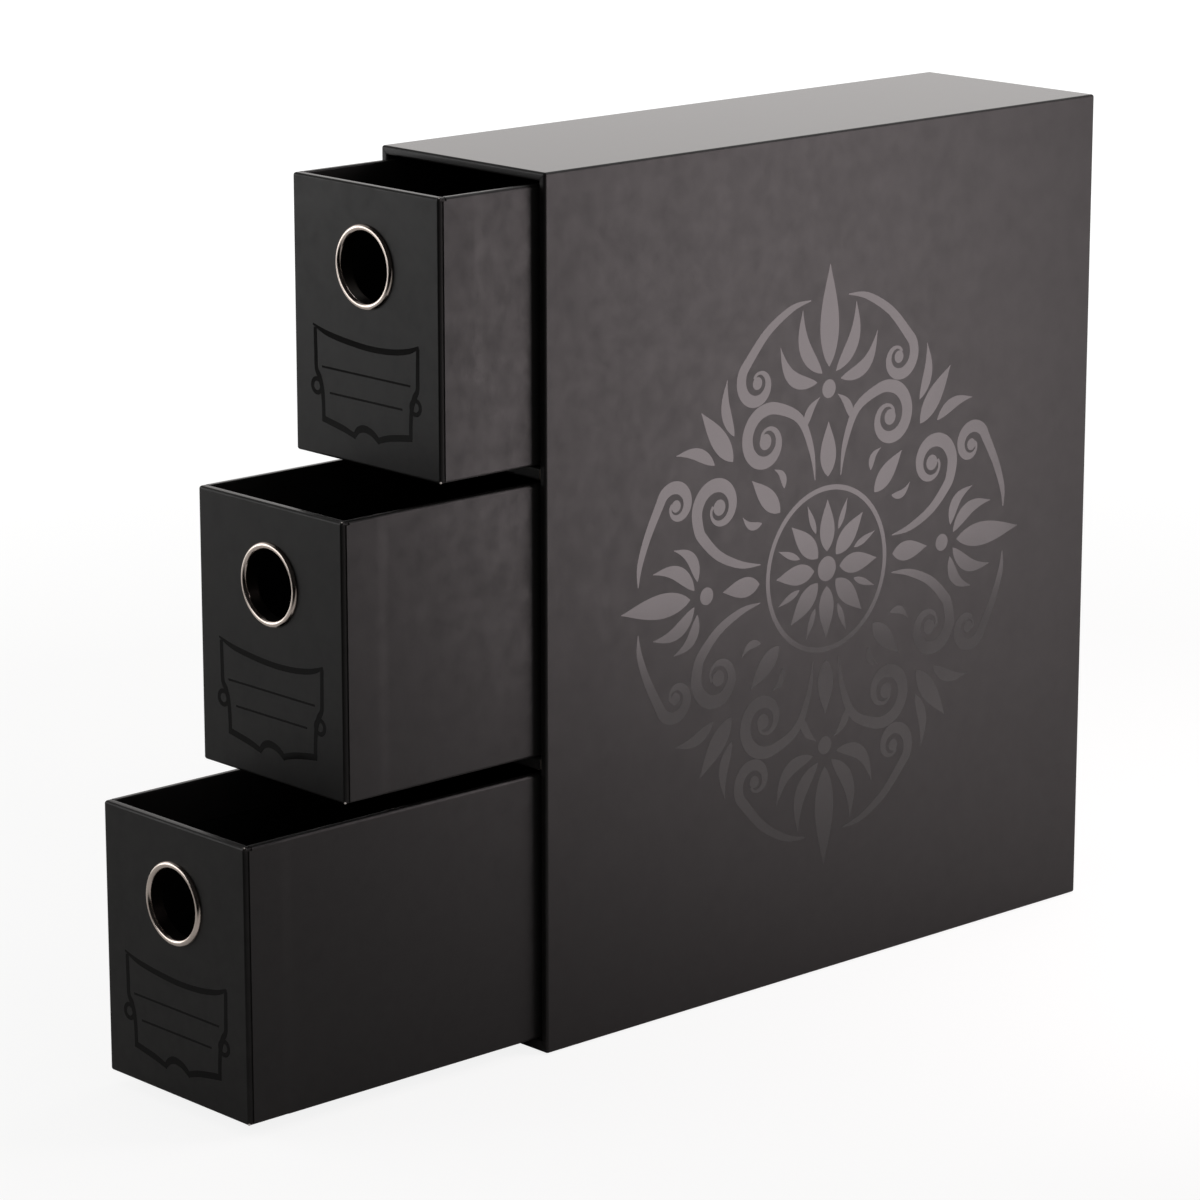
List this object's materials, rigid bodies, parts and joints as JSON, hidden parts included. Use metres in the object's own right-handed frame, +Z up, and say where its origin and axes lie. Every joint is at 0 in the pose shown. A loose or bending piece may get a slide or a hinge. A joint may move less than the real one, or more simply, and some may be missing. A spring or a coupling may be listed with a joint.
{
  "type": "card drawer box",
  "caption": "Tall narrow covered-board box with sliding drawers for upright sleeved cards, each pulled by a metal-rimmed finger hole.",
  "frame": {"origin": "centre of the case's underside", "axes": "+Z up, the drawers face and slide towards -Y, +X to the right as seen from the front"},
  "size_m": [0.0844, 0.4053, 0.31],
  "materials": {
    "case_cover": "black covering paper with a matt laminate",
    "drawer_cover": "black covering paper with a matt laminate",
    "lining": "plain uncoated black lining paper",
    "greyboard": "solid recycled greyboard",
    "plated_metal": "bright warm nickel plate"
  },
  "bodies": {
    "case": {"case_wrap": "case_cover", "case_base_sheet": "case_cover", "case_back_sheet": "case_cover", "case_lining": "lining", "case_back_lining": "lining", "case_left_board": "greyboard", "case_right_board": "greyboard", "case_top_board": "greyboard", "case_floor_board": "greyboard", "case_back_board": "greyboard", "lower_shelf_board": "greyboard", "lower_shelf_wrap": "case_cover", "upper_shelf_board": "greyboard", "upper_shelf_wrap": "case_cover"},
    "bottom_drawer": {"bottom_front_board": "greyboard", "bottom_left_board": "greyboard", "bottom_right_board": "greyboard", "bottom_back_board": "greyboard", "bottom_floor_board": "greyboard", "bottom_front_wrap": "drawer_cover", "bottom_tray_wrap": "drawer_cover", "bottom_base_sheet": "drawer_cover", "bottom_lining": "lining", "bottom_eyelet": "plated_metal", "bottom_eyelet_washer": "plated_metal"},
    "middle_drawer": {"middle_front_board": "greyboard", "middle_left_board": "greyboard", "middle_right_board": "greyboard", "middle_back_board": "greyboard", "middle_floor_board": "greyboard", "middle_front_wrap": "drawer_cover", "middle_tray_wrap": "drawer_cover", "middle_base_sheet": "drawer_cover", "middle_lining": "lining", "middle_eyelet": "plated_metal", "middle_eyelet_washer": "plated_metal"},
    "top_drawer": {"top_front_board": "greyboard", "top_left_board": "greyboard", "top_right_board": "greyboard", "top_back_board": "greyboard", "top_floor_board": "greyboard", "top_front_wrap": "drawer_cover", "top_tray_wrap": "drawer_cover", "top_base_sheet": "drawer_cover", "top_lining": "lining", "top_eyelet": "plated_metal", "top_eyelet_washer": "plated_metal"}
  },
  "joints": [
    {"name": "bottom_drawer_slide", "type": "slide", "parent": "case", "child": "bottom_drawer", "axis": [0, -1, 0], "range_m": [-0.129, 0.126]},
    {"name": "middle_drawer_slide", "type": "slide", "parent": "case", "child": "middle_drawer", "axis": [0, -1, 0], "range_m": [-0.086, 0.169]},
    {"name": "top_drawer_slide", "type": "slide", "parent": "case", "child": "top_drawer", "axis": [0, -1, 0], "range_m": [-0.043, 0.212]}
  ]
}
